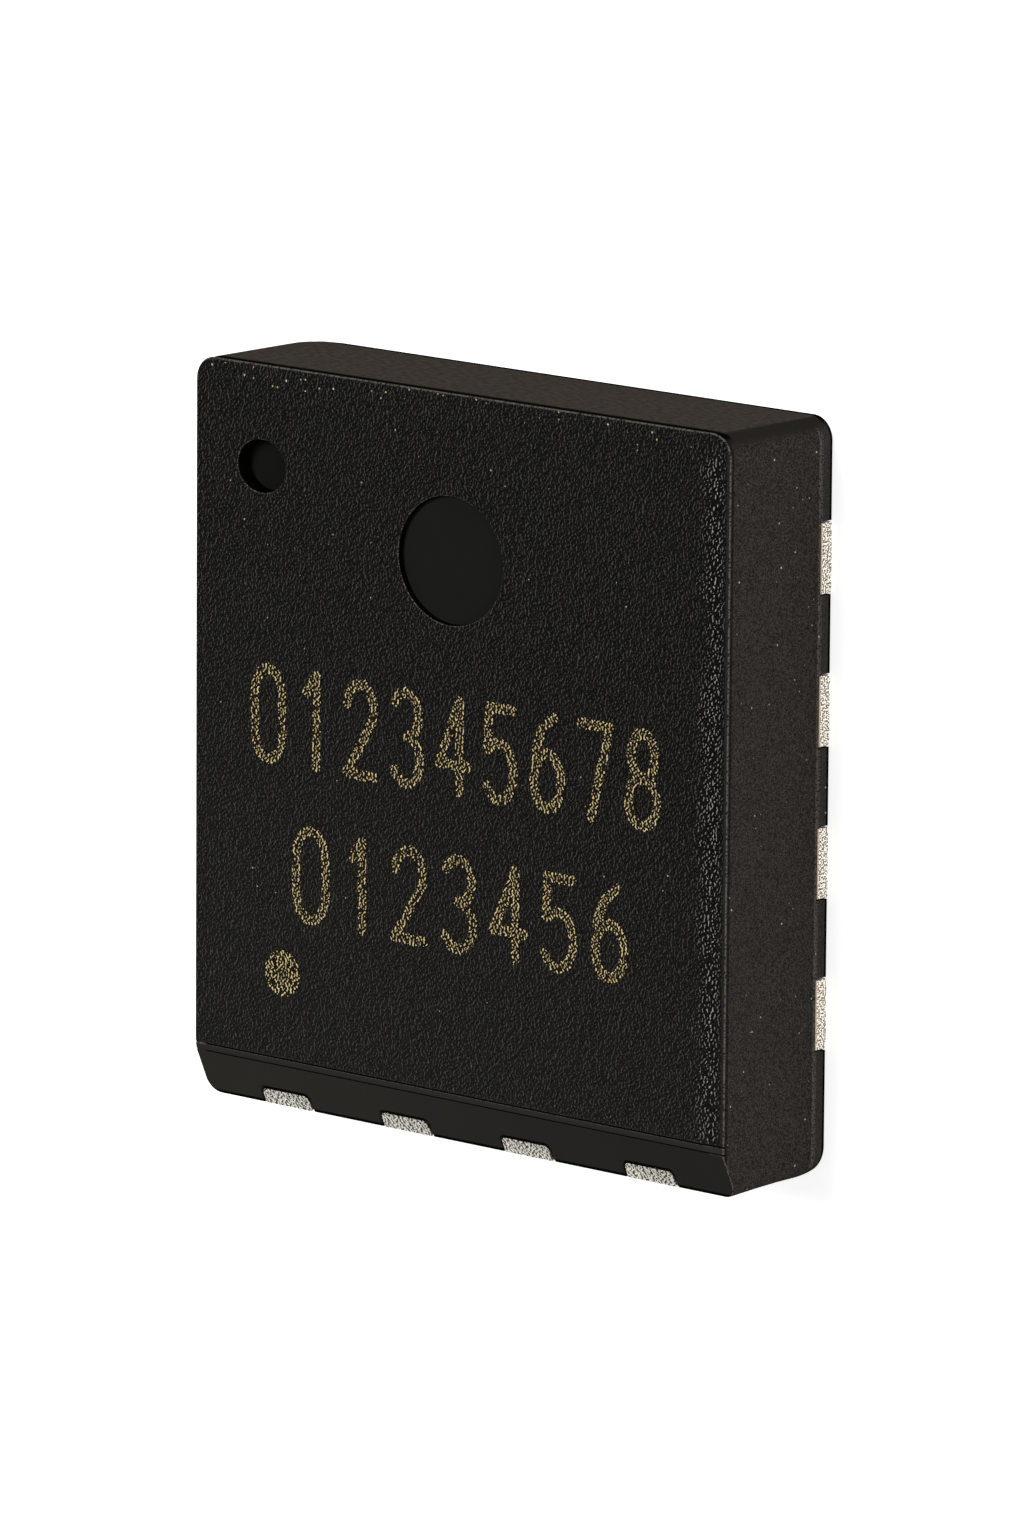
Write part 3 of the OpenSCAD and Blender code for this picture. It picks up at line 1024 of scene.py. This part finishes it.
# Burnt grains of the laser marking
MARK_DARK = (0.005, 0.004, 0.003, 1)
MARK_GOLD = (0.74, 0.582, 0.282, 1)
MARK_TURN = 5
MARK_STRETCH = (1.0, 0.9, 1.0)
MARK_SCALE = 84.0
MARK_SHIFT = (0.0050, 0.0, 0.0)
MARK_RANGE = (0.105, 0.175)
MARK_CORE = (0.0, 0.6, 0.45, 1.0)
MARK_ROUGHNESS = 0.6
MARK_SPECULAR = 0.1
MARK_RELIEF = 0.006


def mark_material():
    """Golden burnt grains, sparser in the middle of a stroke."""
    g = Graph("laser_mark_gold")
    grain = g.emboss(g.stretched(g.turned(g.position(), MARK_TURN), MARK_STRETCH), MARK_SCALE, MARK_SHIFT)
    out = g.node("ShaderNodeAttribute", attribute_name="out").outputs["Fac"]
    burnt = g.product(g.ramp(grain, *MARK_RANGE), g.ramp(out, *MARK_CORE))
    return g.surface({
        "Base Color": g.mix(burnt, MARK_DARK, MARK_GOLD),
        "Roughness": MARK_ROUGHNESS,
        "Specular IOR Level": MARK_SPECULAR,
        "Normal": g.bump(grain, MARK_RELIEF),
    })


# Laser marking: plain counting figures drawn with a round stroke


def arc_points(cx, cy, rx, ry, start, stop):
    """Points of an arc of an ellipse, from one angle to another in degrees."""
    steps = FIGURE_ARC_STEPS
    angles = [math.radians(start + (stop - start) * k / steps) for k in range(steps + 1)]
    return [(cx + rx * math.cos(a), cy + ry * math.sin(a)) for a in angles]


def figure_strokes(figure):
    """Stroke paths of one figure in a cell one wide and one tall."""
    lower = 0.26
    upper = 0.24
    high = 1 - upper
    bowl = 0.3
    paths = {
        0: [arc_points(0.5, 0.7, 0.5, 0.3, 0, 180) + arc_points(0.5, 0.3, 0.5, 0.3, 180, 360) + [(1.0, 0.7)]],
        1: [[(0.2, 0.8), (0.58, 1.0), (0.58, 0.0)]],
        2: [arc_points(0.5, 0.72, 0.48, 0.28, 170, -20) + [(0.02, 0.0), (1.0, 0.0)]],
        3: [arc_points(0.48, high, 0.46, upper, 150, -90), arc_points(0.48, lower, 0.5, lower, 90, -150)],
        4: [[(0.72, 0.0), (0.72, 1.0), (0.0, 0.3), (1.0, 0.3)]],
        5: [[(0.92, 1.0), (0.12, 1.0), (0.06, 0.55)] + arc_points(0.46, 0.31, 0.52, 0.31, 125, -145)],
        6: [
            arc_points(0.5, bowl, 0.48, bowl, 0, 360),
            [(0.02, bowl), (0.1, 0.62), (0.32, 0.86), (0.72, 1.0)],
        ],
        7: [[(0.0, 1.0), (1.0, 1.0), (0.38, 0.0)]],
        8: [arc_points(0.5, high, 0.42, upper, 0, 360), arc_points(0.5, lower, 0.5, lower, 0, 360)],
    }
    return paths[figure]


def distance_to_paths(points, paths):
    """Distance of each point from the nearest stroke path."""
    best = np.full(len(points), np.inf)
    for path in paths:
        for start, stop in zip(path[:-1], path[1:]):
            a = np.array(start)
            step = np.array(stop) - a
            t = np.clip(((points - a) @ step) / (step @ step), 0, 1)
            best = np.minimum(best, np.linalg.norm(points - a - t[:, None] * step, axis=1))
    return best


def clipped_cells(xs, ys, depth):
    """Flat faces of the region where depth is positive on a grid, with its edge cut through the cells."""
    points, faces, known = [], [], {}

    def corner(i, j):
        key = (i, j)
        if key not in known:
            known[key] = len(points)
            points.append((xs[i], ys[j]))
        return known[key]

    def crossing(a, b):
        key = (min(a, b), max(a, b))
        if key not in known:
            da, db = depth[a], depth[b]
            t = da / (da - db)
            known[key] = len(points)
            points.append((xs[a[0]] + t * (xs[b[0]] - xs[a[0]]), ys[a[1]] + t * (ys[b[1]] - ys[a[1]])))
        return known[key]

    for i in range(len(xs) - 1):
        for j in range(len(ys) - 1):
            ring = [(i, j), (i + 1, j), (i + 1, j + 1), (i, j + 1)]
            face = []
            for a, b in zip(ring, ring[1:] + ring[:1]):
                if depth[a] > 0:
                    face.append(corner(*a))
                if (depth[a] > 0) != (depth[b] > 0):
                    face.append(crossing(a, b))
            if len(face) > 2:
                faces.append(tuple(face))
    return points, faces


def mark_mesh(name, paths, stroke, seed):
    """Thin raised mark along stroke paths, with the ragged edge and uneven top of burnt grains."""
    every = np.array([p for path in paths for p in path])
    least = every.min(0) - stroke
    most = every.max(0) + stroke
    xs = np.arange(least[0], most[0] + MARK_CELL, MARK_CELL)
    ys = np.arange(least[1], most[1] + MARK_CELL, MARK_CELL)
    grid_x, grid_y = np.meshgrid(xs, ys, indexing="ij")
    flat = np.column_stack([grid_x.ravel(), grid_y.ravel()])
    rng = np.random.default_rng(seed)
    ragged = rng.normal(0, RAGGED, len(flat))
    depth = (stroke / 2 - distance_to_paths(flat, paths) + ragged).reshape(grid_x.shape)
    outline, faces = clipped_cells(xs, ys, depth)
    out = distance_to_paths(np.array(outline), paths) / (stroke / 2)
    work = bmesh.new()
    rise = rng.uniform(LEAST_RISE, 1.0, len(outline)) * MARK_PROUD
    verts = [work.verts.new((x, y, HEIGHT + r)) for (x, y), r in zip(outline, rise)]
    for face in faces:
        work.faces.new([verts[k] for k in face])
    rim = [e for e in work.edges if e.is_boundary]
    skirt = bmesh.ops.extrude_edge_only(work, edges=rim)["geom"]
    for part in skirt:
        if isinstance(part, bmesh.types.BMVert):
            part.co.z = HEIGHT - MARK_PROUD / 2
    bmesh.ops.recalc_face_normals(work, faces=work.faces)
    mesh = bpy.data.meshes.new(name)
    work.to_mesh(mesh)
    work.free()
    skirt_out = np.ones(len(mesh.vertices) - len(out))
    mesh.attributes.new("out", "FLOAT", "POINT").data.foreach_set("value", np.concatenate([out, skirt_out]))
    return mesh


def figure_row(figures, left, right, bottom, top):
    """Stroke paths of a row of figures spread evenly between its ends."""
    pitch = (right - left) / (len(figures) - 1 + FIGURE_SHARE)
    wide = pitch * FIGURE_SHARE
    tall = top - bottom
    paths = []
    for k, figure in enumerate(figures):
        for path in figure_strokes(figure):
            paths.append([(left + pitch * k + wide * x, bottom + tall * y) for x, y in path])
    return paths


def make_mark(name, paths, stroke, seed, material):
    mesh = mark_mesh(name, paths, stroke, seed)
    finish_piece(link_object(name, mesh), material, [])


def make_marks(material):
    """Two rows of counting figures and the dot beside the first terminal."""
    for seed, (name, row) in enumerate(ROWS.items(), 1):
        make_mark(name, figure_row(*row), STROKE, seed, material)
    x, y, diameter = DOT
    make_mark("first_terminal_dot", [[(x, y), (x + NEAR, y)]], diameter, DOT_SEED, material)


# Stage


def make_camera():
    """Camera that gives the photo's view of the chip as it lies."""
    data = bpy.data.cameras.new("camera")
    data.sensor_width = SENSOR
    data.lens = LENS
    data.clip_start = CLIP_NEAR * MM
    data.clip_end = CLIP_FAR * MM
    camera = bpy.data.objects.new("camera", data)
    bpy.context.scene.collection.objects.link(camera)
    back = VIEW_FROM.normalized()
    right = VIEW_UP.cross(back).normalized()
    up = back.cross(right)
    middle = Vector((0, 0, HEIGHT / 2))
    place = middle + back * VIEW_DISTANCE + right * VIEW_RIGHT_SHIFT + up * VIEW_UP_SHIFT
    camera.matrix_world = Matrix.Translation(place * MM) @ Matrix((right, up, back)).transposed().to_4x4()
    bpy.context.scene.camera = camera


def make_lamp(name, place, size, level):
    """Square soft lamp aimed at the chip; level 1 lights a white surface that faces it to white."""
    data = bpy.data.lights.new(name, "AREA")
    data.shape = "SQUARE"
    data.size = size * MM
    distance = Vector(place).length * MM
    data.energy = level * math.pi**2 * distance**2
    lamp = bpy.data.objects.new(name, data)
    bpy.context.scene.collection.objects.link(lamp)
    lamp.location = Vector(place) * MM
    lamp.rotation_mode = "QUATERNION"
    lamp.rotation_quaternion = Vector(place).to_track_quat("Z", "Y")


def make_floor():
    """Pale floor that keeps the chip's shadow and glows to white for the camera and in reflections."""
    half = FLOOR_HALF * MM
    corners = [(-half, -half), (half, -half), (half, half), (-half, half)]
    mesh = mesh_from("floor", [(x, y, -FLOOR_DROP * MM) for x, y in corners], [(0, 1, 2, 3)])
    floor = link_object("floor", mesh)
    g = Graph("floor_white")
    path = g.node("ShaderNodeLightPath").outputs
    away = g.node("ShaderNodeVectorMath", {0: g.position()}, operation="LENGTH").outputs["Value"]
    level = g.ramp(away, FLOOR_NEAR, FLOOR_FAR, *FLOOR_GLOW)
    seen = g.math("MULTIPLY", path["Is Camera Ray"], level)
    mirrored = g.math("MULTIPLY", path["Is Glossy Ray"], FLOOR_MIRRORED)
    white = g.node("ShaderNodeBsdfDiffuse", {"Color": (FLOOR_GREY, FLOOR_GREY, FLOOR_GREY, 1)})
    glow = g.node("ShaderNodeEmission", {"Color": (1, 1, 1, 1), "Strength": g.math("ADD", seen, mirrored)})
    both = g.node("ShaderNodeAddShader")
    g.tree.links.new(white.outputs[0], both.inputs[0])
    g.tree.links.new(glow.outputs[0], both.inputs[1])
    output = g.node("ShaderNodeOutputMaterial")
    g.tree.links.new(both.outputs[0], output.inputs[0])
    mesh.materials.append(g.material)


def make_world():
    """Even white surroundings, weak as a light and white as a background."""
    world = bpy.data.worlds.new("studio")
    world.use_nodes = True
    tree = world.node_tree
    path = tree.nodes.new("ShaderNodeLightPath")
    back = tree.nodes["Background"]
    level = tree.nodes.new("ShaderNodeMapRange")
    level.inputs["To Min"].default_value = WORLD_LIGHT
    level.inputs["To Max"].default_value = WORLD_SEEN
    tree.links.new(path.outputs["Is Camera Ray"], level.inputs["Value"])
    tree.links.new(level.outputs[0], back.inputs["Strength"])
    back.inputs["Color"].default_value = (1, 1, 1, 1)
    bpy.context.scene.world = world


def dress():
    """Dressed body and terminals, materials for the solids that stay, and the marking."""
    tin = tin_material()
    make_shell(mold_material())
    for node in TERMINAL_NODES:
        make_terminal(node, tin)
    inner = {"exposed_pad": tin, "die": silicon_material(), "die_attach": epoxy_material()}
    inner.update(dict.fromkeys(WIRE_NODES, gold_material()))
    for node, material in inner.items():
        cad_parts[node].data.materials.clear()
        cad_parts[node].data.materials.append(material)
    make_marks(mark_material())


dress()
make_camera()
make_floor()
make_world()
for lamp_name, lamp in LAMPS.items():
    make_lamp(lamp_name, *lamp)
bpy.context.scene.view_settings.view_transform = "Standard"
